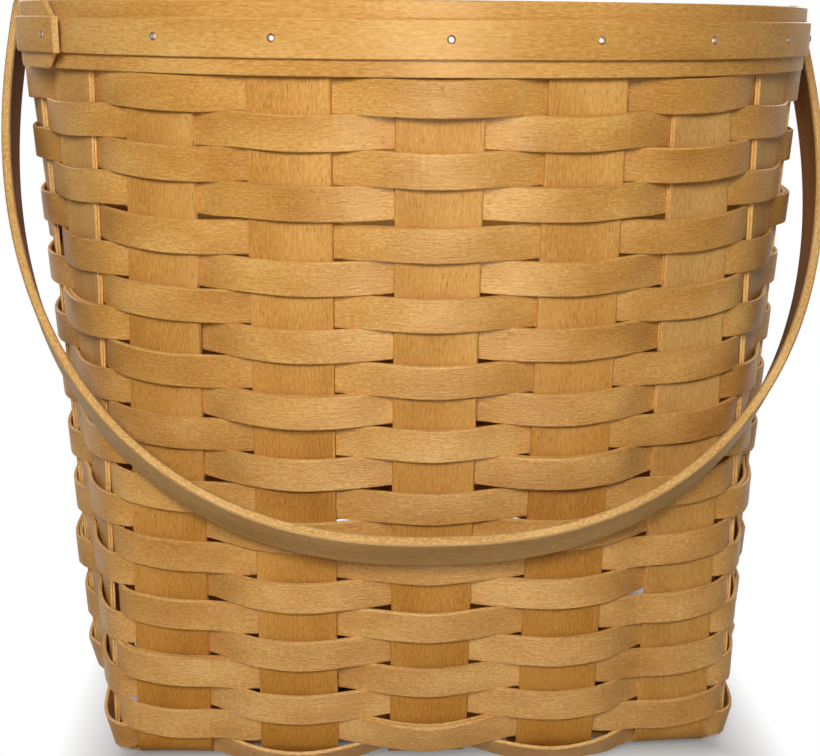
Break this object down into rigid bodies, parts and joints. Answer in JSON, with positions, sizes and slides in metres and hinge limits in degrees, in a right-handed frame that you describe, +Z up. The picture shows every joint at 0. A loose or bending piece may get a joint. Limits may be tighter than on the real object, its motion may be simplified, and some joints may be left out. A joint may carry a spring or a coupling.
{
  "type": "woven splint basket",
  "caption": "Deep woven wood-splint basket, round at the rim and square at the base, with nailed rim bands and a riveted bentwood swing handle.",
  "frame": {"origin": "centre of the base's underside, on the surface the basket stands on", "axes": "+Z up; the swing handle turns about X and hangs down in front of the -Y side; +X to the right"},
  "size_m": [0.3658, 0.358, 0.3095],
  "materials": {
    "splint_wood": "satin varnish",
    "weaver_wood": "satin varnish",
    "rim_wood": "satin varnish",
    "handle_wood": "satin varnish",
    "steel": "worn satin"
  },
  "bodies": {
    "basket": {"splint_front_to_back_1": "splint_wood", "splint_front_to_back_2": "splint_wood", "splint_front_to_back_3": "splint_wood", "splint_front_to_back_4": "splint_wood", "splint_front_to_back_5": "splint_wood", "splint_side_to_side_1": "splint_wood", "splint_side_to_side_2": "splint_wood", "splint_side_to_side_3": "splint_wood", "splint_side_to_side_4": "splint_wood", "splint_side_to_side_5": "splint_wood", "weaver_row_01": "weaver_wood", "weaver_row_02": "weaver_wood", "weaver_row_03": "weaver_wood", "weaver_row_04": "weaver_wood", "weaver_row_05": "weaver_wood", "weaver_row_06": "weaver_wood", "weaver_row_07": "weaver_wood", "weaver_row_08": "weaver_wood", "weaver_row_09": "weaver_wood", "weaver_row_10": "weaver_wood", "weaver_row_11": "weaver_wood", "weaver_row_12": "weaver_wood", "weaver_row_13": "weaver_wood", "weaver_row_14": "weaver_wood", "weaver_row_15": "weaver_wood", "weaver_row_16": "weaver_wood", "weaver_row_17": "weaver_wood", "weaver_row_18": "weaver_wood", "weaver_row_19": "weaver_wood", "weaver_row_20": "weaver_wood", "weaver_row_21": "weaver_wood", "weaver_row_22": "weaver_wood", "outer_band": "rim_wood", "trim_strip": "rim_wood", "inner_band": "rim_wood", "rim_nail_01": "steel", "rim_nail_02": "steel", "rim_nail_03": "steel", "rim_nail_04": "steel", "rim_nail_05": "steel", "rim_nail_06": "steel", "rim_nail_07": "steel", "rim_nail_08": "steel", "rim_nail_09": "steel", "rim_nail_10": "steel", "rim_nail_11": "steel", "rim_nail_12": "steel", "rim_nail_13": "steel", "rim_nail_14": "steel", "rim_nail_15": "steel", "rim_nail_16": "steel", "rim_nail_17": "steel", "rim_nail_18": "steel", "rivet_left": "steel", "rivet_right": "steel", "rivet_burr_left": "steel", "rivet_burr_right": "steel"},
    "handle": {"handle": "handle_wood"}
  },
  "joints": [
    {"name": "handle_swing", "type": "hinge", "parent": "basket", "child": "handle", "pos_m": [0, 0, 0.2953], "axis": [-1, 0, 0], "range_deg": [0, 272.8]}
  ]
}
